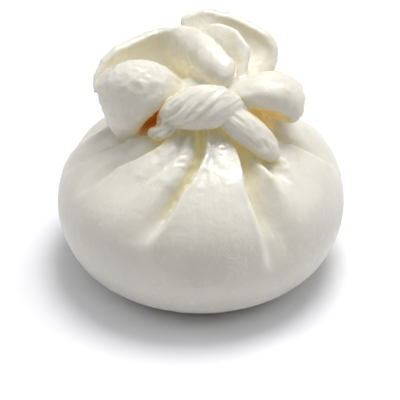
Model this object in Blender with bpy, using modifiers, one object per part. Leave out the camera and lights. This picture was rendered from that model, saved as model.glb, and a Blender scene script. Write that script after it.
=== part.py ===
"""Burrata: a soft pouch of stretched curd, gathered at the neck and tied with a strand of the
same curd. Above the tie the pouch's free edge stands up as a ruffled crown.

Two solids: `pouch` (body, neck and crown, one continuous skin) and `tie` (the knotted strand).
Frame: +Z up, origin at the centre of the flat spot that the pouch rests on, -Y is the front.
Sizes are in millimetres until the last step, which scales the meshes to metres.
"""

import math

import bmesh
import bpy
import numpy as np
from mathutils import Matrix

# ---------------------------------------------------------------- driving dimensions, mm
BODY_RADIUS = 47.0  # half of the pouch's widest diameter
WIDEST_HEIGHT = 21.0
NECK_CENTRE = (1.0, 2.5)
NECK_RADIUS = 9.0
NECK_BASE = 52.0  # height at which the folds leave the shoulder
NECK_TOP = 63.0
ROOT_HEIGHT = 60.5  # where the crown's pleats leave the neck
FOOT_RADIUS = 27.0  # the flat spot underneath
SINK = 1.0  # how far the foot is pressed below the table before it is cut flat

SHEET_THICKNESS = 3.0  # the crown's skin
CLEARANCE = 0.4  # between the tie and the pouch

# How finely each skin is sampled before it is thinned out, and how many triangles it keeps.
POUCH_VOXEL = 1.1
POUCH_TRIANGLES = 5400
TIE_VOXEL = 0.8
TIE_TRIANGLES = 1800
TO_METRES = 0.001

CURD = (0.72, 0.69, 0.61, 1.0)
STRAND = (0.74, 0.70, 0.60, 1.0)

# The pouch's outline as (radius, height) from the foot up to the neck.
PROFILE = (
    (0.0, -SINK),
    (FOOT_RADIUS, -SINK),
    (36.5, 3.0),
    (43.8, 10.0),
    (BODY_RADIUS, WIDEST_HEIGHT),
    (45.3, 32.0),
    (40.5, 39.5),
    (32.0, 46.2),
    (23.2, 50.8),
    (16.2, 54.2),
    (11.0, 58.5),
    (NECK_RADIUS, NECK_TOP - 1.0),
    (6.5, NECK_TOP + 1.5),
    (0.0, NECK_TOP + 2.0),
)

# Creases that run down from the neck between two folds. Azimuths in degrees, anticlockwise from
# +X, at the neck, a fifth of the way to the widest ring, and three fifths of the way; then how
# far it reaches as a share of that way, its depth, and the widths of its two flanks (towards
# growing and falling azimuth). A narrow flank is the steep edge of the fold that overlaps.
CREASE_STATIONS = (0.0, 0.2, 0.6)
CREASES = (
    (268, 256, 246, 0.70, 6.5, 1.6, 4.8),
    (303, 296, 298, 1.00, 7.5, 9.0, 1.5),
    (326, 319, 313, 0.36, 4.2, 3.0, 3.0),
    (340, 351, 362, 0.66, 6.0, 5.0, 2.0),
    (28, 31, 36, 0.70, 4.5, 6.0, 5.0),
    (58, 61, 64, 0.95, 5.0, 6.0, 7.0),
    (86, 88, 92, 0.70, 4.0, 5.0, 5.0),
    (112, 114, 117, 0.90, 5.5, 8.0, 4.0),
    (136, 138, 141, 0.65, 4.0, 5.0, 5.0),
    (160, 161, 162, 0.80, 4.5, 5.0, 7.0),
    (203, 191, 183, 0.62, 2.4, 1.8, 4.2),
    (225, 211, 203, 0.58, 3.3, 1.8, 4.2),
)
# The crown's free edge, followed once round from the drooping left lobe by way of the back to the
# right lobe. Each row is one pleat line: the point where it ends on the free edge and the point
# it passes half way up from the neck, then how far the skin swells outwards between the two.
PLEATS = (
    ((-14.5, 4.0, 53.0), (-9.0, 1.0, 60.0), 0.0),  # under the left lobe, tucked to the neck
    ((-20.0, -2.0, 47.5), (-17.0, -4.5, 57.5), 0.3),  # left lobe: inner edge
    ((-25.5, -2.5, 47.5), (-18.0, -8.0, 62.0), 1.5),  # the tip, which rests on the shoulder
    ((-30.0, -1.5, 56.0), (-18.5, -7.5, 67.5), 1.5),
    ((-31.8, -1.0, 64.0), (-18.0, -5.0, 71.3), 1.2),
    ((-31.0, 2.0, 67.0), (-17.0, 0.0, 72.3), 0.8),  # its crest
    ((-29.5, 4.5, 65.5), (-16.0, 3.5, 69.0), 0.0),
    ((-34.5, 5.0, 61.5), (-19.5, 5.5, 62.5), 0.0),  # the layer outside it
    ((-33.0, 8.5, 67.0), (-19.5, 9.5, 61.5), 0.0),
    ((-28.5, 11.5, 71.5), (-18.0, 13.5, 62.0), 0.0),  # the hollow
    ((-22.5, 15.0, 73.0), (-15.0, 16.5, 63.0), 0.0),
    ((-16.0, 18.5, 74.5), (-11.0, 17.5, 64.0), 0.0),
    ((-10.0, 19.5, 75.5), (-6.5, 14.5, 66.0), 0.0),
    ((-4.5, 18.5, 76.0), (-1.5, 8.0, 70.0), 0.5),  # front fold
    ((2.5, 12.0, 76.0), (2.5, 2.5, 70.5), 0.8),
    ((9.5, 3.0, 73.0), (7.0, -1.5, 67.5), 0.3),
    ((8.0, 7.0, 70.5), (6.0, 3.0, 65.5), 0.0),  # tucked behind the front fold
    ((1.0, 17.0, 72.0), (1.0, 11.0, 67.0), 0.0),
    ((3.0, 18.0, 77.0), (4.5, 12.0, 70.5), 0.3),  # second fold
    ((10.0, 16.0, 77.5), (11.0, 9.5, 69.5), 0.5),
    ((14.5, 10.5, 74.5), (12.5, 4.0, 66.5), 0.3),
    ((13.0, 6.0, 68.0), (9.5, 0.5, 63.5), 0.0),
    ((13.0, 15.0, 69.5), (10.5, 8.5, 63.0), 0.0),  # tucked behind the second fold
    ((-1.0, 22.0, 72.0), (1.0, 14.0, 66.5), 0.0),
    ((-5.0, 25.0, 75.9), (-3.0, 17.2, 69.4), 0.0),  # back lobe
    ((1.5, 26.7, 78.1), (2.5, 17.3, 70.2), -0.3),
    ((12.5, 24.2, 76.2), (11.5, 15.8, 67.9), -0.5),
    ((22.5, 19.3, 71.8), (18.5, 12.4, 66.0), -0.5),
    ((24.3, 15.0, 65.0), (17.5, 10.5, 62.0), 0.0),
    ((22.0, 12.5, 57.5), (14.0, 7.0, 60.5), 0.0),  # dip between the back lobe and the right lobe
    ((28.0, 8.0, 60.5), (18.0, 5.0, 64.6), 0.5),  # right lobe
    ((31.5, 2.5, 62.3), (19.0, 0.6, 66.8), 1.5),
    ((32.0, -3.2, 60.6), (20.0, -4.2, 65.2), 2.0),
    ((30.0, -4.5, 55.5), (21.5, -5.0, 62.0), 1.0),
    ((25.5, -1.0, 53.5), (18.0, -0.5, 60.5), 0.0),
    ((18.5, 4.0, 54.5), (11.5, 3.0, 59.0), 0.0),  # under the right lobe, tucked to the neck
    ((10.5, -2.0, 57.0), (8.0, -3.0, 59.5), 0.0),  # under the knot, close to the neck
    ((2.0, -6.0, 58.0), (1.5, -4.5, 60.0), 0.0),
    ((-9.0, -3.0, 56.5), (-6.5, -3.0, 59.0), 0.0),
)
FIRST_PLEAT_AT = 205.0  # azimuth of the first pleat's root on the neck

# The tie: swept strands, each a row of (x, y, z, half width, half thickness).
STRANDS = {
    "ring": (
        (9.5, -7.0, 61.8, 3.8, 3.0),
        (13.8, -4.0, 61.3, 3.2, 2.6),
        (13.5, 6.0, 58.5, 3.0, 2.2),
        (3.0, 13.5, 57.5, 3.0, 2.2),
        (-8.5, 9.0, 57.5, 3.0, 2.2),
        (-11.0, -0.5, 58.0, 3.0, 2.4),
        (-9.5, -5.5, 59.0, 3.4, 3.0),
    ),
    "knot": (
        (-12.6, -5.6, 60.0, 2.6, 2.6),
        (-7.5, -8.6, 61.4, 5.2, 4.0),
        (-1.0, -10.0, 63.5, 6.8, 4.3),
        (5.0, -9.6, 64.1, 6.6, 4.3),
        (9.5, -7.5, 62.7, 4.6, 3.8),
        (12.0, -5.2, 61.3, 3.0, 2.8),
    ),
    "left end": (
        (-9.5, -7.2, 60.3, 4.2, 3.0),
        (-11.0, -9.0, 57.0, 3.6, 2.8),
        (-13.2, -10.0, 54.8, 2.8, 2.2),
        (-16.4, -9.2, 54.6, 2.0, 1.6),
    ),
    "tail": (
        (5.5, -8.5, 61.8, 3.0, 2.8),
        (9.5, -10.4, 59.8, 4.4, 3.4),
        (14.5, -12.0, 56.8, 5.0, 3.5),
        (18.5, -13.2, 53.6, 4.8, 3.0),
        (21.4, -14.0, 50.7, 3.8, 2.4),
        (23.8, -14.2, 47.0, 1.6, 1.2),
    ),
}


def spline(rows, samples, closed=False):
    """A smooth curve through the rows, sampled in even steps."""
    rows = np.asarray(rows, float)
    count = len(rows)
    spans = count if closed else count - 1
    t = np.linspace(0, spans, samples, endpoint=not closed)
    index = np.minimum(t.astype(int), spans - 1)
    f = (t - index).reshape((-1,) + (1,) * (rows.ndim - 1))

    def at(i):
        return rows[i % count] if closed else rows[np.clip(i, 0, count - 1)]

    a, b, c, d = at(index - 1), at(index), at(index + 1), at(index + 2)
    return 0.5 * (
        2 * b + (c - a) * f + (2 * a - 5 * b + 4 * c - d) * f**2 + (3 * b - a - 3 * c + d) * f**3
    )


def smoothstep(x):
    x = np.clip(x, 0, 1)
    return x * x * (3 - 2 * x)


def mesh_object(name, grid, capped):
    """A mesh from a grid of points whose rows close on themselves; capped rows end in a fan."""
    rings, turns = grid.shape[:2]
    bm = bmesh.new()
    rows = [[bm.verts.new(p) for p in ring] for ring in grid]
    for i in range(rings - 1):
        for j in range(turns):
            k = (j + 1) % turns
            bm.faces.new((rows[i][j], rows[i][k], rows[i + 1][k], rows[i + 1][j]))
    if capped:
        for row in (rows[0], rows[-1]):
            bm.faces.new(row)
    bmesh.ops.remove_doubles(bm, verts=bm.verts, dist=0.001)
    bmesh.ops.recalc_face_normals(bm, faces=bm.faces)
    mesh = bpy.data.meshes.new(name)
    bm.to_mesh(mesh)
    bm.free()
    obj = bpy.data.objects.new(name, mesh)
    bpy.context.scene.collection.objects.link(obj)
    return obj


# ---------------------------------------------------------------- the pouch's body
def body_grid(rings, turns):
    """The body as rings of points from the foot to the neck, with the creases pressed in."""
    outline = spline(PROFILE, rings)
    outline[:, 0] = np.maximum(outline[:, 0], 0.02)
    azimuth = np.linspace(0, 360, turns, endpoint=False)
    r, a = np.meshgrid(outline[:, 0], azimuth, indexing="ij")
    z = np.repeat(outline[:, 1:], turns, axis=1)
    down = (NECK_BASE - z) / (NECK_BASE - WIDEST_HEIGHT)
    sink = np.zeros_like(r)
    for neck, fifth, far, reach, depth, wide_up, wide_down in CREASES:
        line = np.interp(down, CREASE_STATIONS, (neck, fifth, far))
        away = (a - line + 180) % 360 - 180
        across = np.radians(away) * np.maximum(r, 8.0)
        width = np.where(away > 0, wide_up, wide_down) * (0.5 + 0.8 * np.clip(down / reach, 0, 1))
        fade = 1 - smoothstep((down / reach - 0.35) / 0.65)
        square = 1.1 + 0.14 * np.where(away > 0, wide_up, wide_down)
        sink += depth * fade * np.exp(-((np.abs(across) / width) ** square))
    sink *= smoothstep((NECK_TOP - z) / 8.0)
    along = np.gradient(outline, axis=0)
    along /= np.linalg.norm(along, axis=1, keepdims=True)
    outward, upward = along[:, 1:], -along[:, :1]
    r = r - sink * outward
    z = z - sink * upward
    lean = smoothstep((z - WIDEST_HEIGHT) / (NECK_TOP - WIDEST_HEIGHT))
    x = r * np.cos(np.radians(a)) + NECK_CENTRE[0] * lean
    y = r * np.sin(np.radians(a)) + NECK_CENTRE[1] * lean
    return np.stack([x, y, z], axis=-1)


# ---------------------------------------------------------------- the crown
def crown_grid(steps, turns):
    """The crown's skin as rows of points, from the neck to the free edge."""
    lines = []
    for i, (edge, middle, _) in enumerate(PLEATS):
        turn = math.radians(FIRST_PLEAT_AT - 360 * i / len(PLEATS))
        root = (
            NECK_CENTRE[0] + 0.7 * NECK_RADIUS * math.cos(turn),
            NECK_CENTRE[1] + 0.7 * NECK_RADIUS * math.sin(turn),
            ROOT_HEIGHT,
        )
        lines.append((root, middle, edge))
    root, middle, edge = np.moveaxis(spline(lines, turns, closed=True), 1, 0)
    pull = 2 * middle - (root + edge) / 2
    s = np.linspace(0, 1, steps)[:, None, None]
    skin = (1 - s) ** 2 * root + 2 * s * (1 - s) * pull + s**2 * edge
    across = np.roll(skin, -1, axis=1) - np.roll(skin, 1, axis=1)
    normal = np.cross(across, np.gradient(skin, axis=0))
    normal /= np.linalg.norm(normal, axis=2, keepdims=True)
    swell = spline([[row[2]] for row in PLEATS], turns, closed=True)
    return skin + normal * swell[None] * np.sin(math.pi * s**1.4)


# ---------------------------------------------------------------- the tie
def strand_grid(rows, steps, sides):
    """A strand swept along its rows, with a section of two half widths."""
    rows = spline(rows, steps)
    centre, wide, thick = rows[:, :3], rows[:, 3], rows[:, 4]
    along = np.gradient(centre, axis=0)
    along /= np.linalg.norm(along, axis=1, keepdims=True)
    out = centre - np.array([NECK_CENTRE[0], NECK_CENTRE[1], 55.0])
    out -= (out * along).sum(axis=1, keepdims=True) * along
    out /= np.linalg.norm(out, axis=1, keepdims=True)
    side = np.cross(along, out)
    # round both ends
    t = np.linspace(0, 1, steps)
    length = np.linalg.norm(np.diff(centre, axis=0), axis=1).sum()
    ends = np.minimum(t, 1 - t) * length
    cap = np.sqrt(np.clip(1 - (1 - np.clip(ends / thick, 0, 1)) ** 2, 0.02, 1))
    angle = np.linspace(0, 2 * math.pi, sides, endpoint=False)[None, :, None]
    return (
        centre[:, None]
        + np.cos(angle) * (side * (wide * cap)[:, None])[:, None]
        + np.sin(angle) * (out * (thick * cap)[:, None])[:, None]
    )


def baked(obj, kind, **settings):
    """Add a modifier, set it and bake it into the mesh."""
    modifier = obj.modifiers.new(kind.lower(), kind)
    for key, value in settings.items():
        setattr(modifier, key, value)
    graph = bpy.context.evaluated_depsgraph_get()
    mesh = bpy.data.meshes.new_from_object(obj.evaluated_get(graph))
    obj.modifiers.clear()
    obj.data = mesh
    return obj


def keep_outer_skin(obj):
    """Drop every loose shell but the biggest, so that no sealed pocket or crumb is left."""
    bm = bmesh.new()
    bm.from_mesh(obj.data)
    todo = set(bm.verts)
    shells = []
    while todo:
        start = todo.pop()
        shell, edge_of_shell = {start}, [start]
        while edge_of_shell:
            near = {e.other_vert(v) for v in edge_of_shell for e in v.link_edges} - shell
            shell |= near
            edge_of_shell = list(near)
        todo -= shell
        shells.append(shell)
    shells.sort(key=len)
    for shell in shells[:-1]:
        bmesh.ops.delete(bm, geom=list(shell), context="VERTS")
    bm.to_mesh(obj.data)
    bm.free()


def fused(name, pieces, voxel, smooth, triangles):
    """Join overlapping pieces into one closed skin and thin it out to about that many triangles."""
    bm = bmesh.new()
    for piece in pieces:
        bm.from_mesh(piece.data)
        bpy.data.objects.remove(piece, do_unlink=True)
    mesh = bpy.data.meshes.new(name)
    bm.to_mesh(mesh)
    bm.free()
    obj = bpy.data.objects.new(name, mesh)
    bpy.context.scene.collection.objects.link(obj)
    baked(obj, "REMESH", mode="VOXEL", voxel_size=voxel)
    keep_outer_skin(obj)
    baked(obj, "SMOOTH", factor=0.5, iterations=smooth)
    ratio = triangles / (2 * len(obj.data.polygons))
    if ratio < 1:
        baked(obj, "DECIMATE", ratio=ratio, use_collapse_triangulate=True)
    return obj


def cut_flat(obj):
    """Cut away what lies below the table and close the skin with one flat face."""
    bm = bmesh.new()
    bm.from_mesh(obj.data)
    geom = bm.verts[:] + bm.edges[:] + bm.faces[:]
    bmesh.ops.bisect_plane(
        bm, geom=geom, plane_co=(0, 0, 0), plane_no=(0, 0, 1), clear_inner=True, dist=1e-4
    )
    rim = [e for e in bm.edges if e.is_boundary]
    bmesh.ops.contextual_create(bm, geom=rim)
    bmesh.ops.recalc_face_normals(bm, faces=bm.faces)
    bm.to_mesh(obj.data)
    bm.free()


def make_pouch(voxel, triangles):
    body = mesh_object("body", body_grid(150, 300), True)
    crown = mesh_object("crown", crown_grid(30, 340), False)
    baked(crown, "SOLIDIFY", thickness=SHEET_THICKNESS, offset=0.0)
    return fused("pouch", [body, crown], voxel, 3, triangles)


def make_tie(voxel, triangles):
    pieces = [mesh_object(name, strand_grid(rows, 40, 24), True) for name, rows in STRANDS.items()]
    return fused("tie", pieces, voxel, 3, triangles)


def main():
    for old in list(bpy.data.objects):
        bpy.data.objects.remove(old, do_unlink=True)
    parts = bpy.data.collections.new("burrata")
    bpy.context.scene.collection.children.link(parts)
    guides = bpy.data.collections.new("burrata_guides")
    bpy.context.scene.collection.children.link(guides)

    pouch = make_pouch(POUCH_VOXEL, POUCH_TRIANGLES)
    cut_flat(pouch)
    tie = make_tie(TIE_VOXEL, TIE_TRIANGLES)

    # The strand presses its own groove into the pouch.
    groove = bpy.data.objects.new("tie_groove", tie.data.copy())
    guides.objects.link(groove)
    baked(groove, "DISPLACE", strength=CLEARANCE, mid_level=0.0)
    baked(pouch, "BOOLEAN", operation="DIFFERENCE", solver="EXACT", object=groove)
    keep_outer_skin(pouch)
    groove.hide_render = True
    groove.display_type = "WIRE"

    for obj, base, rough in ((pouch, CURD, 0.32), (tie, STRAND, 0.34)):
        bpy.context.scene.collection.objects.unlink(obj)
        parts.objects.link(obj)
        skin = bpy.data.materials.new(obj.name + "_curd")
        skin.use_nodes = True
        shader = skin.node_tree.nodes["Principled BSDF"]
        shader.inputs["Base Color"].default_value = base
        shader.inputs["Roughness"].default_value = rough
        obj.data.materials.clear()
        obj.data.materials.append(skin)
    for obj in (pouch, tie, groove):
        obj.data.transform(Matrix.Scale(TO_METRES, 4))
        obj.data.name = obj.name
        for face in obj.data.polygons:
            face.use_smooth = True
            face.material_index = 0


if __name__ == "__main__":
    main()
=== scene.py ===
import math

import bmesh
import bpy
import numpy as np
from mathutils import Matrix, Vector
from mathutils.bvhtree import BVHTree
from mathutils.kdtree import KDTree


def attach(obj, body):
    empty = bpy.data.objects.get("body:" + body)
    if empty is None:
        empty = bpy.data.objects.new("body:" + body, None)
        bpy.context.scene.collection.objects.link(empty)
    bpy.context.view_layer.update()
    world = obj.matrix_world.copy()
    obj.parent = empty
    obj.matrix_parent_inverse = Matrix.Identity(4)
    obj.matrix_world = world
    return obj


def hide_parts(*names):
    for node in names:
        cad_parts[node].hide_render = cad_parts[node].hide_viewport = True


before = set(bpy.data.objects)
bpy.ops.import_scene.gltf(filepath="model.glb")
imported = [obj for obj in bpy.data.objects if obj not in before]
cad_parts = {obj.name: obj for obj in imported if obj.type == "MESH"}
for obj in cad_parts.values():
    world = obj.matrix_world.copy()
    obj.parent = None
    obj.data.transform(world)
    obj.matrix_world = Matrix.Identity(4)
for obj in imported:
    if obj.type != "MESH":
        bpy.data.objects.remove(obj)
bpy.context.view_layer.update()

# ================================================================ the pouch's body
# A ball of stretched curd skin round a soft filling. It sags under its own weight to a low, wide
# round, and its skin is drawn up to the neck in folds with creases pressed between them.

MM = 0.001
NECK_X, NECK_Y = 1.0, 2.5
NECK_BASE, NECK_TOP = 52.0, 63.0
WIDEST = 21.0

# Radius and height, from the foot up to the neck
BODY_OUTLINE = (
    (0.0, -1.0),
    (27.0, -1.0),
    (36.5, 3.0),
    (43.8, 10.0),
    (47.0, WIDEST),
    (45.3, 32.0),
    (40.5, 39.5),
    (32.0, 46.2),
    (23.2, 50.8),
    (16.2, 54.2),
    (11.0, 58.5),
    (9.0, NECK_TOP - 1.0),
    (6.5, NECK_TOP + 1.5),
    (0.0, NECK_TOP + 2.0),
)

# Azimuth at the neck, a fifth of the way down to the widest ring and three fifths of the way;
# reach as a share of that way; depth; flank towards growing azimuth, flank towards falling
# azimuth; height of the rounded lip on the steeper flank.
BODY_CREASES = (
    (268, 256, 246, 0.70, 6.5, 1.4, 4.6, 0.8),
    (303, 296, 298, 1.00, 7.5, 9.0, 1.2, 0.8),
    (340, 351, 362, 0.66, 6.0, 5.0, 1.8, 0.6),
    (28, 31, 36, 0.70, 4.5, 6.0, 5.0, 0.0),
    (58, 61, 64, 0.95, 5.0, 6.0, 7.0, 0.0),
    (86, 88, 92, 0.70, 4.0, 5.0, 5.0, 0.0),
    (112, 114, 117, 0.90, 5.5, 8.0, 4.0, 0.3),
    (136, 138, 141, 0.65, 4.0, 5.0, 5.0, 0.0),
    (160, 161, 162, 0.80, 4.5, 5.0, 7.0, 0.0),
    (203, 191, 183, 0.62, 2.4, 1.4, 4.0, 0.3),
    (225, 211, 203, 0.58, 3.3, 1.4, 4.0, 0.4),
    (247, 234, 226, 0.40, 1.6, 1.2, 3.0, 0.2),
)


def spline(rows, samples, closed=False):
    """A smooth curve through the rows, sampled in even steps from row to row."""
    rows = np.asarray(rows, float)
    count = len(rows)
    spans = count if closed else count - 1
    t = np.linspace(0, spans, samples, endpoint=not closed)
    index = np.minimum(t.astype(int), spans - 1)
    f = (t - index).reshape((-1,) + (1,) * (rows.ndim - 1))

    def at(i):
        return rows[i % count] if closed else rows[np.clip(i, 0, count - 1)]

    a, b, c, d = at(index - 1), at(index), at(index + 1), at(index + 2)
    return 0.5 * (
        2 * b + (c - a) * f + (2 * a - 5 * b + 4 * c - d) * f**2 + (3 * b - a - 3 * c + d) * f**3
    )


def ease(x):
    x = np.clip(x, 0, 1)
    return x * x * (3 - 2 * x)


def points_of(piece):
    flat = np.empty(len(piece.data.vertices) * 3)
    piece.data.vertices.foreach_get("co", flat)
    return flat.reshape(-1, 3)


def put_points(piece, points):
    piece.data.vertices.foreach_set("co", np.ascontiguousarray(points, float).ravel())
    piece.data.update()


def finished(kind, **settings):
    """Give the active piece a modifier and apply it."""
    modifier = bpy.context.object.modifiers.new(kind.lower(), kind)
    for key, value in settings.items():
        setattr(modifier, key, value)
    bpy.ops.object.modifier_apply(modifier=modifier.name)


bpy.ops.object.select_all(action="DESELECT")
bpy.ops.mesh.primitive_grid_add(x_subdivisions=840, y_subdivisions=300, size=2.0)
body = bpy.context.object
body.name = "pouch_body"
ball = points_of(body)
turn = 180 * (ball[:, 0] + 1)
drop = (ball[:, 1] + 1) / 2
fine = spline(BODY_OUTLINE, 2001)
fine[:, 0] = np.maximum(fine[:, 0], 0.0)
slope = np.gradient(fine, axis=0)
slope /= np.linalg.norm(slope, axis=1, keepdims=True)
share = np.linspace(0, 1, len(fine))
r = np.interp(drop, share, fine[:, 0])
z = np.interp(drop, share, fine[:, 1])
out_r = np.interp(drop, share, slope[:, 1])
out_z = np.interp(drop, share, -slope[:, 0])
down = (NECK_BASE - z) / (NECK_BASE - WIDEST)

# how far the skin is pressed in, first by the creases between two folds
sink = np.zeros_like(r)
for neck, fifth, far, reach, depth, wide_up, wide_down, lip in BODY_CREASES:
    line = np.interp(down, (0.0, 0.2, 0.6), (neck, fifth, far))
    away = (turn - line + 180) % 360 - 180
    across = np.radians(away) * np.maximum(r, 8.0)
    along = np.clip(down / reach, 0, 1)
    width = np.where(away > 0, wide_up, wide_down) * (0.5 + 0.8 * along)
    fade = 1 - ease((down / reach - 0.35) / 0.65)
    square = 1.1 + 0.14 * np.where(away > 0, wide_up, wide_down)
    sink += depth * fade * (
        0.8 * np.exp(-((np.abs(across) / width) ** square)) + 0.2 * np.exp(-((across / 0.7) ** 2))
    )
    steep = (away > 0) if wide_up < wide_down else (away < 0)
    sink -= lip * fade * steep * np.exp(-(((np.abs(across) - 2.2 * width) / (1.1 * width)) ** 2))

# then by single dents: azimuth, place on the way down as a radius or a height, depth, half widths
for dent_turn, way, dent_at, depth, half_across, half_along in (
    (318, r, 29.0, 3.8, 2.9, 4.4),  # the pit beside the strand's tail
    (311.5, r, 30.0, -2.2, 1.6, 6.5),  # the thin ridge between it and the long crease
    (325, r, 31.0, -1.2, 2.4, 4.5),  # the ridge on its other side
    (299, z, 28.0, 1.1, 2.0, 5.0),  # where the long crease runs out
):
    away = np.radians((turn - dent_turn + 180) % 360 - 180) * np.maximum(r, 8.0)
    dent = np.exp(-((away / half_across) ** 2) - ((way - dent_at) / half_along) ** 2)
    sink += depth * dent * (z > 15)

sink *= ease((NECK_TOP - z) / 8.0)
r = np.maximum(r - sink * out_r, 0.0)
z = z - sink * out_z
lean = ease((z - WIDEST) / (NECK_TOP - WIDEST))
put_points(
    body,
    np.stack(
        [
            r * np.cos(np.radians(turn)) + NECK_X * lean,
            r * np.sin(np.radians(turn)) + NECK_Y * lean,
            z,
        ],
        axis=1,
    ),
)


def closed_up():
    """Merge the seam and the ends of the shape just made, and turn its faces outwards."""
    bpy.ops.object.mode_set(mode="EDIT")
    bpy.ops.mesh.select_all(action="SELECT")
    bpy.ops.mesh.remove_doubles(threshold=0.001)
    bpy.ops.mesh.normals_make_consistent(inside=False)
    bpy.ops.object.mode_set(mode="OBJECT")


closed_up()

# ================================================================ the crown
# The free edge of the same skin, gathered by the tie and flaring above it in pleats: a drooping
# lobe on the left, a hollow behind it, two upright folds, a broad lobe at the back and a short
# curled lobe on the right.

SKIN = 2.8
ROOT_RADIUS = 6.3
ROOT_HEIGHT = 60.5
FIRST_PLEAT_AT = 205.0
SKIN_MESH = 0.68

# Where each pleat ends on the free edge, where it passes half way up, and how far it swells.
PLEATS = (
    ((-14.5, 4.0, 53.0), (-9.0, 1.0, 60.0), 0.0),  # under the left lobe, tucked to the neck
    ((-20.0, -2.0, 47.5), (-17.0, -4.5, 57.5), 0.3),  # left lobe: inner edge
    ((-25.5, -2.5, 47.5), (-18.0, -8.0, 62.0), 1.5),  # the tip, which rests on the shoulder
    ((-30.0, -1.5, 56.0), (-18.5, -7.5, 67.5), 1.5),
    ((-31.8, -1.0, 64.0), (-18.0, -5.0, 71.3), 1.2),
    ((-31.0, 2.0, 67.0), (-17.0, 0.0, 72.3), 0.8),  # its crest
    ((-29.5, 4.5, 65.5), (-16.0, 3.5, 69.0), 0.0),
    ((-34.5, 5.0, 61.5), (-19.5, 5.5, 62.5), 0.0),  # the layer outside it
    ((-33.0, 8.5, 67.0), (-19.5, 9.5, 61.5), 0.0),
    ((-28.5, 11.5, 71.5), (-18.0, 13.5, 62.0), 0.0),  # the hollow
    ((-22.5, 15.0, 73.0), (-15.0, 16.5, 63.0), 0.0),
    ((-16.0, 18.5, 74.5), (-11.0, 17.5, 64.0), 0.0),
    ((-10.0, 19.5, 75.5), (-6.5, 14.5, 66.0), 0.0),
    ((-4.5, 18.5, 76.0), (-1.5, 8.0, 70.0), 0.5),  # front fold
    ((2.5, 12.0, 76.0), (2.5, 2.5, 70.5), 0.8),
    ((9.5, 3.0, 73.0), (7.0, -1.5, 67.5), 0.3),
    ((8.0, 7.0, 70.5), (6.0, 3.0, 65.5), 0.0),  # tucked behind the front fold
    ((1.0, 17.0, 72.0), (1.0, 11.0, 67.0), 0.0),
    ((3.0, 18.0, 77.0), (4.5, 12.0, 70.5), 0.3),  # second fold
    ((10.0, 16.0, 77.5), (11.0, 9.5, 69.5), 0.5),
    ((14.5, 10.5, 74.5), (12.5, 4.0, 66.5), 0.3),
    ((13.0, 6.0, 68.0), (9.5, 0.5, 63.5), 0.0),
    ((13.0, 15.0, 69.5), (10.5, 8.5, 63.0), 0.0),  # tucked behind the second fold
    ((-1.0, 22.0, 72.0), (1.0, 14.0, 66.5), 0.0),
    ((-5.0, 24.5, 76.2), (-3.0, 17.6, 69.4), 0.0),  # back lobe
    ((1.5, 26.0, 78.5), (2.5, 18.0, 70.2), -0.3),
    ((12.5, 23.4, 76.7), (11.5, 18.0, 66.8), -0.2),
    ((22.5, 18.6, 72.3), (18.5, 14.6, 64.9), 0.0),
    ((24.3, 15.0, 65.0), (17.5, 10.5, 62.0), 0.0),
    ((22.0, 12.5, 57.5), (14.0, 7.0, 60.5), 0.0),  # dip between the back lobe and the right lobe
    ((28.0, 8.0, 60.5), (18.0, 5.0, 64.6), 0.5),  # right lobe
    ((31.5, 2.5, 62.3), (19.0, 0.6, 66.8), 1.5),
    ((32.0, -3.2, 60.6), (20.0, -4.2, 65.2), 2.0),
    ((30.0, -4.5, 55.5), (21.5, -5.0, 62.0), 1.0),
    ((25.5, -1.0, 53.5), (18.0, -0.5, 60.5), 0.0),
    ((18.5, 4.0, 54.5), (11.5, 3.0, 59.0), 0.0),  # under the right lobe, tucked to the neck
    ((10.5, -2.0, 57.0), (8.0, -3.0, 59.5), 0.0),  # under the knot, close to the neck
    ((2.0, -6.0, 58.0), (1.5, -4.5, 60.0), 0.0),
    ((-9.0, -3.0, 56.5), (-6.5, -3.0, 59.0), 0.0),
)

AROUND, UPWARD = 1360, 70
bpy.ops.object.select_all(action="DESELECT")
bpy.ops.mesh.primitive_grid_add(x_subdivisions=AROUND, y_subdivisions=UPWARD, size=2.0)
crown = bpy.context.object
crown.name = "pouch_crown"
sheet = points_of(crown)
around = np.rint((sheet[:, 0] + 1) / 2 * AROUND).astype(int) % AROUND
up = (sheet[:, 1] + 1) / 2

pleat_lines = []
for i, (edge, middle, _) in enumerate(PLEATS):
    at = math.radians(FIRST_PLEAT_AT - 360 * i / len(PLEATS))
    root = (
        NECK_X + ROOT_RADIUS * math.cos(at),
        NECK_Y + ROOT_RADIUS * math.sin(at),
        ROOT_HEIGHT,
    )
    pleat_lines.append((root, middle, edge))
root, middle, edge = np.moveaxis(spline(pleat_lines, AROUND, closed=True), 1, 0)
pull = 2 * middle - (root + edge) / 2
s = np.linspace(0, 1, UPWARD + 1)[:, None, None]
skin = (1 - s) ** 2 * root + 2 * s * (1 - s) * pull + s**2 * edge
across = np.roll(skin, -1, axis=1) - np.roll(skin, 1, axis=1)
outward = np.cross(across, np.gradient(skin, axis=0))
outward /= np.linalg.norm(outward, axis=2, keepdims=True)
swell = spline([[row[2]] for row in PLEATS], AROUND, closed=True)
skin = skin + outward * swell[None] * np.sin(math.pi * s**1.4)
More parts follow.
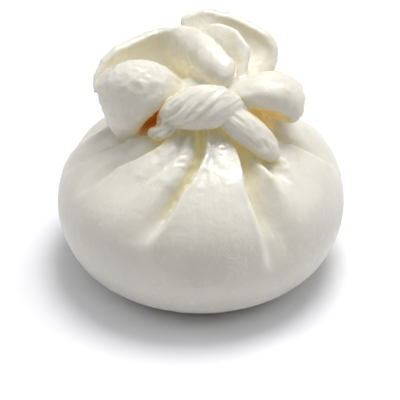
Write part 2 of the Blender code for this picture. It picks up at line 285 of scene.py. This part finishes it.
# the torn edge is uneven, and the skin is crumpled most over the left lobe
turns = np.linspace(0, 1, AROUND, endpoint=False)
ragged = sum(
    np.sin(2 * math.pi * turns * k + phase) * size
    for k, phase, size in ((47, 0.4, 0.16), (97, 2.1, 0.09), (151, 4.0, 0.07), (233, 1.3, 0.04))
)
upright = skin - root[None]
upright /= np.linalg.norm(upright, axis=2, keepdims=True) + 1e-9
skin = skin + upright * (ragged[None, :, None] * np.clip((s - 0.8) / 0.2, 0, 1) ** 2)
ripple = sum(
    np.sin(2 * math.pi * (turns[None, :] * k + s[:, :, 0] * drift) + phase) * size
    for k, drift, phase, size in (
        (41, 1.1, 0.0, 0.10), (67, -0.8, 1.7, 0.09), (113, 1.9, 3.1, 0.06), (29, 3.4, 0.9, 0.07),
    )
)
skin = skin + outward * (ripple * np.sin(math.pi * s[:, :, 0] ** 0.7))[..., None]
put_points(crown, skin[np.rint(up * UPWARD).astype(int), around])
closed_up()
finished("SOLIDIFY", thickness=SKIN, offset=0.0)

# Body and crown are one skin: they are fused, smoothed, and cut flat where the pouch rests.
body.select_set(True)
bpy.context.view_layer.objects.active = body
bpy.ops.object.join()
pouch = bpy.context.object
pouch.name = "pouch_skin"
finished("REMESH", mode="VOXEL", voxel_size=SKIN_MESH)


def keep_largest_shell(piece):
    """Drop the loose shells that fusing leaves inside the skin."""
    bm = bmesh.new()
    bm.from_mesh(piece.data)
    todo = set(bm.verts)
    shells = []
    while todo:
        start = todo.pop()
        shell, fresh = {start}, [start]
        while fresh:
            near = {e.other_vert(v) for v in fresh for e in v.link_edges} - shell
            shell |= near
            fresh = list(near)
        todo -= shell
        shells.append(shell)
    shells.sort(key=len)
    for shell in shells[:-1]:
        bmesh.ops.delete(bm, geom=list(shell), context="VERTS")
    bm.to_mesh(piece.data)
    bm.free()


keep_largest_shell(pouch)
finished("SMOOTH", factor=0.5, iterations=2)


def waver(points, cell, seed):
    """Smooth random swelling, -1 to 1, that changes about once in every cell."""
    lattice = np.random.default_rng(seed).uniform(-1, 1, (32, 32, 32))
    spot = points / cell
    base = np.floor(spot).astype(int)
    f = spot - base
    f = f * f * (3 - 2 * f)
    total = np.zeros(len(points))
    for corner in np.ndindex(2, 2, 2):
        weight = np.prod(np.where(corner, f, 1 - f), axis=1)
        total += weight * lattice[tuple(((base + corner) % 32).T)]
    return total


def crumple(piece, zones, overall):
    """Press wrinkles into the skin: faint all over, deep in each zone (place, radius, depth)."""
    points = points_of(piece)
    normals = np.empty(points.size)
    piece.data.vertices.foreach_get("normal", normals)
    depth = np.full(len(points), overall)
    for centre, radius, deep in zones:
        away = np.linalg.norm(points - centre, axis=1) / radius
        depth += deep * np.exp(-(away**2))
    bent = points + np.stack([waver(points, 6.0, n) for n in (1, 2, 3)], axis=1) * 2.0
    folds = 0.5 - np.abs(waver(bent, 3.4, 4)) * 2 + 0.5 * (0.5 - np.abs(waver(bent, 1.9, 5)) * 2)
    put_points(piece, points + normals.reshape(-1, 3) * (depth * folds)[:, None])


crumple(
    pouch,
    (
        ((-19.0, -2.0, 72.0), 8.0, 0.40),  # left lobe's crest
        ((-23.0, -7.0, 62.0), 9.0, 0.15),
        ((-28.0, 6.0, 68.0), 6.0, 0.35),
        ((26.0, 0.0, 65.0), 8.0, 0.25),  # right lobe's top
        ((4.0, -19.5, 51.0), 6.0, 0.40),  # tops of the front folds
        ((-9.0, -19.5, 50.0), 7.0, 0.30),
        ((27.0, -12.0, 46.5), 8.0, 0.32),
        ((-8.0, -2.0, 57.0), 6.0, 0.30),
    ),
    0.05,
)


bpy.ops.object.mode_set(mode="EDIT")
bpy.ops.mesh.select_all(action="SELECT")
bpy.ops.mesh.bisect(plane_co=(0, 0, 0), plane_no=(0, 0, 1), use_fill=True, clear_inner=True)
bpy.ops.object.mode_set(mode="OBJECT")
put_points(pouch, points_of(pouch) * MM)
bpy.ops.object.shade_smooth()


# The curd's skin: milky, moist and faintly see-through, with fine stretch lines that run out from
# the neck. Painted shade and painted bounced light make it warmer and deeper in colour in hollows.
class Socket:
    """One output of a shader node, with arithmetic."""

    def __init__(self, tree, link):
        self.tree, self.link = tree, link

    def math(self, kind, *values):
        return self.node("ShaderNodeMath", {"operation": kind}, *values)

    def node(self, type_name, settings=None, *values, out=0, **named):
        """A new node fed by values in socket order, or by name, or by number as _0, _6."""
        made = self.tree.nodes.new(type_name)
        for key, value in (settings or {}).items():
            setattr(made, key, value)
        pairs = list(zip(made.inputs, values))
        for key, value in named.items():
            pairs.append((made.inputs[int(key[1:]) if key[0] == "_" else key], value))
        for socket, value in pairs:
            if isinstance(value, Socket):
                self.tree.links.new(value.link, socket)
            else:
                socket.default_value = value
        return Socket(self.tree, made.outputs[out])

    def __add__(self, other):
        return self.math("ADD", self, other)

    __radd__ = __add__

    def __mul__(self, other):
        return self.math("MULTIPLY", self, other)

    __rmul__ = __mul__

    def __sub__(self, other):
        return self.math("SUBTRACT", self, other)

    def __rsub__(self, other):
        return self.math("SUBTRACT", other, self)

    def between(self, low, high):
        """0 below low, 1 above high, and a smooth rise from one to the other."""
        smooth = {"interpolation_type": "SMOOTHSTEP"}
        return self.node("ShaderNodeMapRange", smooth, self, low, high)

    def mixed(self, first, second):
        """The first colour where this is 0, the second where it is 1."""
        colours = {"data_type": "RGBA"}
        return self.node("ShaderNodeMix", colours, _0=self, _6=first, _7=second, out=2)


def curd(name, pale, warm_shade, deep):
    material = bpy.data.materials.new(name)
    material.use_nodes = True
    tree = material.node_tree
    shader = tree.nodes["Principled BSDF"]
    place = Socket(tree, tree.nodes.new("ShaderNodeTexCoord").outputs["Object"])

    def vector(kind, *values, out=0):
        return place.node("ShaderNodeVectorMath", {"operation": kind}, *values, out=out)

    def away_from(*spot):
        return vector("DISTANCE", place, tuple(v * MM for v in spot), out=1)

    def noise(where, scale, detail=3.0, roughness=0.55, distortion=0.0):
        grain = {"Scale": scale, "Detail": detail, "Roughness": roughness, "Distortion": distortion}
        return place.node("ShaderNodeTexNoise", None, Vector=where, **grain)

    # direction from the neck: patterns on it run outwards like the stretched fibres do
    neck = (NECK_X * MM, NECK_Y * MM, 58.0 * MM)
    fibre = vector("NORMALIZE", vector("SUBTRACT", place, neck))
    streaks, stretched = noise(fibre, 26.0, 4.0), noise(fibre, 40.0, 5.0, 0.6)
    broad, lumps, grain = noise(place, 42.0, 2.0, 0.5), noise(place, 150.0), noise(place, 620.0)
    crinkle = noise(place, 380.0, 2.0, 0.5)
    height_up = place.node("ShaderNodeSeparateXYZ", None, place, out=2)
    tops = height_up.between(0.038, 0.050)

    # the skin greys in broad random patches and in a round patch in front, where the filling shows
    # through; painted shade greys it low down, most of all at the foot
    low = 1 - height_up.between(0.004, 0.036)
    # foot: painted shade where the pouch meets the floor
    foot = 1 - height_up.between(0.006, 0.018)
    patch_edge = away_from(-2.0, -44.5, 32.5) + 0.008 * (lumps - 0.5)
    patch = 1 - patch_edge.between(0.0115, 0.0140)
    thin_skin_and_shade = 0.35 * broad.between(0.38, 0.62) + 0.35 * low + 1.1 * foot + 0.30 * patch
    grey_skin_and_shade = (0.87 * pale[0], 0.875 * pale[1], 0.865 * pale[2], 1.0)
    # stretched lines are whiter, and so are the fine veins beside the patch
    veins = noise(place, 190.0, 1.0, 0.5, 1.5) - 0.5
    veins = 1 - (veins * veins * 900).between(0.0, 1.0)
    veins = veins * (1 - away_from(12.5, -42.5, 30.0).between(0.004, 0.010))
    white = (1.10 * pale[0], 1.10 * pale[1], 1.10 * pale[2], 1.0)
    lines = 0.6 * veins + 0.45 * stretched.between(0.56, 0.68)
    base = lines.mixed(thin_skin_and_shade.mixed(pale, grey_skin_and_shade), white)

    # painted shade and painted bounced light: hollows are tinted warm, least of all up in the
    # crown; the two beside the neck are amber, and the left one is painted darkest
    hollow = place.node("ShaderNodeAttribute", {"attribute_name": "hollow"}, out=2)
    below_crown = 1 - height_up.between(0.060, 0.067)
    left = 1 - away_from(-15.5, -4.0, 57.5).between(0.0045, 0.010)
    right = 1 - away_from(19.0, 1.0, 57.0).between(0.006, 0.016)
    painted_hollow_shade = hollow.between(0.12, 0.80) * (0.22 + 0.78 * below_crown)
    amber_shade = hollow.between(0.30, 0.62) * (left + right)
    dark_shade = hollow.between(0.60, 0.84) * left
    colour = amber_shade.mixed(painted_hollow_shade.mixed(base, warm_shade), (0.76, 0.61, 0.32, 1))
    # painted glow: the hollows give off faint light of their own, standing in for light that has
    # come through the curd
    painted_glow = hollow.between(0.40, 0.80).mixed((0, 0, 0, 1), (0.50, 0.42, 0.21, 1))
    painted_glow = (amber_shade * right).mixed(painted_glow, (0.60, 0.45, 0.18, 1))

    wet = noise(place, 170.0, 2.0).between(0.46, 0.60) * (0.2 + 0.8 * tops)
    relief = 0.25 * streaks + 0.6 * lumps + 0.12 * grain + 0.10 * veins + 0.40 * crinkle * tops
    bump = place.node("ShaderNodeBump", None, Strength=0.38, Distance=0.0013, Height=relief)
    # Base Color carries the painted shade; Emission Color carries the painted glow
    for socket, value in (
        ("Base Color", dark_shade.mixed(colour, deep)),
        ("Emission Color", dark_shade.mixed(painted_glow, (0.36, 0.10, 0.004, 1))),
        ("Coat Weight", 0.08 + 0.70 * wet),
        ("Roughness", 0.38 - 0.15 * wet + 0.08 * broad),
        ("Normal", bump),
    ):
        tree.links.new(value.link, shader.inputs[socket])
    for socket, value in (
        ("Emission Strength", 0.25),
        ("Subsurface Weight", 0.6),
        ("Subsurface Radius", (1.0, 0.88, 0.62)),
        ("Subsurface Scale", 0.004),
        ("Coat Roughness", 0.10),
        ("IOR", 1.38),
    ):
        shader.inputs[socket].default_value = value
    return material


# painted shade colours: warm for the hollows, deep for the darkest one beside the neck
WARM_HOLLOW_SHADE, DEEP_HOLLOW_SHADE = (0.71, 0.655, 0.43, 1), (0.48, 0.17, 0.012, 1)
pouch.data.materials.clear()
pouch.data.materials.append(
    curd("milky_curd_skin", (0.77, 0.745, 0.675, 1), WARM_HOLLOW_SHADE, DEEP_HOLLOW_SHADE)
)
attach(pouch, "root")
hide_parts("pouch")

# ================================================================ the tie
# One strand of curd, passed round the neck and knotted in front while it was hot. The knot is
# wrung, so its surface twists; the short end hangs on the left, the long one lies on the right.

# Each strand's rows: x, y, z, half width, half thickness
STRANDS = (
    (  # round the neck
        (9.5, -7.0, 61.8, 3.8, 3.0),
        (13.8, -4.0, 61.3, 3.2, 2.6),
        (13.5, 6.0, 58.5, 3.0, 2.2),
        (3.0, 13.5, 57.5, 3.0, 2.2),
        (-8.5, 9.0, 57.5, 3.0, 2.2),
        (-11.0, -0.5, 58.0, 3.0, 2.4),
        (-9.5, -5.5, 59.0, 3.4, 3.0),
    ),
    (  # knot
        (-12.6, -5.6, 60.0, 2.6, 2.6),
        (-7.5, -8.6, 61.4, 5.2, 4.0),
        (-1.0, -10.0, 63.5, 6.8, 4.3),
        (5.0, -9.6, 64.1, 6.6, 4.3),
        (9.5, -7.5, 62.7, 4.6, 3.8),
        (12.0, -5.2, 61.3, 3.0, 2.8),
    ),
    (  # short end
        (-9.5, -7.2, 60.3, 4.2, 3.0),
        (-11.0, -9.0, 57.0, 3.6, 2.8),
        (-13.2, -10.0, 54.8, 2.8, 2.2),
        (-16.4, -9.2, 54.6, 2.0, 1.6),
    ),
    (  # tail
        (5.5, -8.5, 61.8, 3.0, 2.8),
        (9.5, -10.4, 59.8, 4.4, 3.4),
        (14.5, -12.0, 56.8, 5.0, 3.5),
        (18.5, -13.2, 53.6, 4.8, 3.0),
        (21.4, -14.0, 50.7, 3.8, 2.4),
        (23.8, -14.2, 47.0, 1.6, 1.2),
    ),
)
# Turns of twist along each strand, and roughly how high its wrinkles stand, in mm
STRAND_TWIST = ((0.5, 0.3), (-0.55, 0.70), (0.3, 0.9), (0.12, 0.4))
STRAND_MESH = 0.35


def strand(name, rows, twist, height):
    """A strand swept along its rows, with round ends and wrinkles that turn with its twist."""
    steps, sides = 160, 96
    bpy.ops.object.select_all(action="DESELECT")
    bpy.ops.mesh.primitive_grid_add(x_subdivisions=sides, y_subdivisions=steps, size=2.0)
    piece = bpy.context.object
    piece.name = name
    flat = points_of(piece)
    j = np.rint((flat[:, 0] + 1) / 2 * sides).astype(int) % sides
    i = np.rint((flat[:, 1] + 1) / 2 * steps).astype(int)
    rows = spline(rows, steps + 1)
    centre, wide, thick = rows[:, :3], rows[:, 3], rows[:, 4]
    along = np.gradient(centre, axis=0)
    along /= np.linalg.norm(along, axis=1, keepdims=True)
    out = centre - np.array([NECK_X, NECK_Y, 55.0])
    out -= (out * along).sum(axis=1, keepdims=True) * along
    out /= np.linalg.norm(out, axis=1, keepdims=True)
    side = np.cross(along, out)
    t = np.linspace(0, 1, steps + 1)
    length = np.linalg.norm(np.diff(centre, axis=0), axis=1).sum()
    ends = np.minimum(t, 1 - t) * length
    cap = np.sqrt(np.clip(1 - (1 - np.clip(ends / thick, 0, 1)) ** 2, 0, 1))
    angle = j / sides * 2 * math.pi
    wrung = angle + twist * 2 * math.pi * t[i]
    fibres = np.stack([np.cos(wrung) * 5, np.sin(wrung) * 5, t[i] * length * 0.22], axis=1)
    ridge = 0.5 - np.abs(waver(fibres, 1.5, 6)) * 1.6 + 0.5 * waver(fibres, 0.7, 7)
    swell = height * (1.1 - 0.75 * t[i]) * ridge * np.clip(cap[i] * 1.2, 0, 1)
    put_points(
        piece,
        centre[i]
        + (np.cos(angle) * (wide[i] * cap[i] + swell))[:, None] * side[i]
        + (np.sin(angle) * (thick[i] * cap[i] + swell))[:, None] * out[i],
    )
    closed_up()
    return piece


strands = [strand("tie_%d" % n, rows, *STRAND_TWIST[n]) for n, rows in enumerate(STRANDS)]
for piece in strands:
    piece.select_set(True)
bpy.context.view_layer.objects.active = strands[0]
bpy.ops.object.join()
tie = bpy.context.object
tie.name = "tie_strand"
finished("REMESH", mode="VOXEL", voxel_size=STRAND_MESH)
keep_largest_shell(tie)
finished("SMOOTH", factor=0.5, iterations=2)
crumple(
    tie,
    (
        ((20.5, -13.5, 51.0), 5.0, 0.45),  # the tail's end
        ((-13.5, -10.0, 55.0), 4.5, 0.75),  # the torn short end
    ),
    0.10,
)
put_points(tie, points_of(tie) * MM)


def cavity(piece, others, every, rays, reach):
    """How closed-in each point is, 0 in the open and 1 deep in a hollow, kept as an attribute.

    Rays go out from one point in every few; each point takes a mean of the nearest four of these.
    """
    points = points_of(piece)
    normals = np.empty(points.size)
    piece.data.vertices.foreach_get("normal", normals)
    normals = normals.reshape(-1, 3)
    depsgraph = bpy.context.evaluated_depsgraph_get()
    trees = [BVHTree.FromObject(p, depsgraph) for p in others]
    golden = math.pi * (3 - math.sqrt(5))
    k = np.arange(rays)
    height = np.sqrt((k + 0.5) / rays)
    ring = np.sqrt(1 - height**2)
    dome = np.stack([ring * np.cos(k * golden), ring * np.sin(k * golden), height], axis=1)
    chosen = np.arange(0, len(points), every)
    found = KDTree(len(chosen))
    shut = np.empty(len(chosen))
    for n, i in enumerate(chosen):
        normal = Vector(normals[i])
        side = normal.orthogonal().normalized()
        other = normal.cross(side)
        basis = np.array([side, other, normal])
        origin = Vector(points[i]) + normal * 0.0003
        hits = 0.0
        for ray in dome @ basis:
            found_at = [tree.ray_cast(origin, Vector(ray), reach)[3] for tree in trees]
            near = [d for d in found_at if d is not None]
            if near:
                hits += 1 - 0.5 * min(near) / reach
        shut[n] = hits / rays
        found.insert(points[i], n)
    found.balance()
    out = np.empty(len(points))
    for i, p in enumerate(points):
        near = found.find_n(p, 4)
        weight = [1 / (d + 0.00005) for _, _, d in near]
        out[i] = sum(w * shut[n] for w, (_, n, _) in zip(weight, near)) / sum(weight)
    attribute = piece.data.attributes.new("hollow", "FLOAT", "POINT")
    attribute.data.foreach_set("value", out)


cavity(pouch, (pouch, tie), every=9, rays=28, reach=45 * MM)
cavity(tie, (pouch, tie), every=6, rays=28, reach=45 * MM)
bpy.ops.object.shade_smooth()
tie.data.materials.clear()
tie.data.materials.append(
    curd("milky_curd_strand", (0.77, 0.74, 0.665, 1), WARM_HOLLOW_SHADE, DEEP_HOLLOW_SHADE)
)
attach(tie, "root")
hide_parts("tie")

# ================================================================ floor, light and camera
# A sheet of white paper under a wide soft light, with a smaller one behind that throws the shadow
# forwards and a soft one on each side. The camera looks down from in front.

bpy.ops.object.select_all(action="DESELECT")
bpy.ops.mesh.primitive_plane_add(size=3.0, location=(0, 0, 0))
floor = bpy.context.object
floor.name = "floor"
paper = bpy.data.materials.new("white_paper")
paper.use_nodes = True
paper_shader = paper.node_tree.nodes["Principled BSDF"]
paper_shader.inputs["Base Color"].default_value = (0.92, 0.92, 0.955, 1)
paper_shader.inputs["Roughness"].default_value = 0.9
floor.data.materials.append(paper)

world = bpy.data.worlds.new("studio")
bpy.context.scene.world = world
world.use_nodes = True
sky = world.node_tree.nodes["Background"]
sky.inputs["Color"].default_value = (0.98, 0.99, 1.0, 1)
sky.inputs["Strength"].default_value = 0.13


def softbox(name, place, size, power, colour=(1.0, 1.0, 1.0)):
    """A round soft light that points at the middle of the burrata."""
    bpy.ops.object.light_add(type="AREA", location=place)
    lamp = bpy.context.object
    lamp.name = name
    lamp.data.shape = "DISK"
    lamp.data.size = size
    lamp.data.energy = power
    lamp.data.color = colour
    lamp.rotation_mode = "QUATERNION"
    lamp.rotation_quaternion = (Vector((0, 0, 0.03)) - Vector(place)).to_track_quat("-Z", "Y")


softbox("key", (0.09, 0.13, 0.60), 0.34, 2.85, (1.0, 1.0, 0.985))
softbox("overhead", (0.0, -0.15, 0.80), 1.20, 2.70)
softbox("left side", (-0.75, 0.05, 0.45), 0.50, 1.05)
softbox("right side", (0.75, 0.05, 0.40), 0.50, 1.0)

TILT = math.radians(35.0)
CAMERA_DISTANCE = 0.600
WIDTH_SEEN = 0.132
SENSOR_MM = 36.0
aim = Vector((0, 0, 0.0215))
towards_camera = Vector((0, -math.cos(TILT), math.sin(TILT)))
bpy.ops.object.camera_add(location=aim + towards_camera * CAMERA_DISTANCE)
camera = bpy.context.object
camera.rotation_mode = "QUATERNION"
camera.rotation_quaternion = (-towards_camera).to_track_quat("-Z", "Y")
camera.data.sensor_width = SENSOR_MM
camera.data.lens = SENSOR_MM * CAMERA_DISTANCE / WIDTH_SEEN
camera.data.shift_x = -0.002
bpy.context.scene.camera = camera
bpy.context.scene.view_settings.view_transform = "Standard"
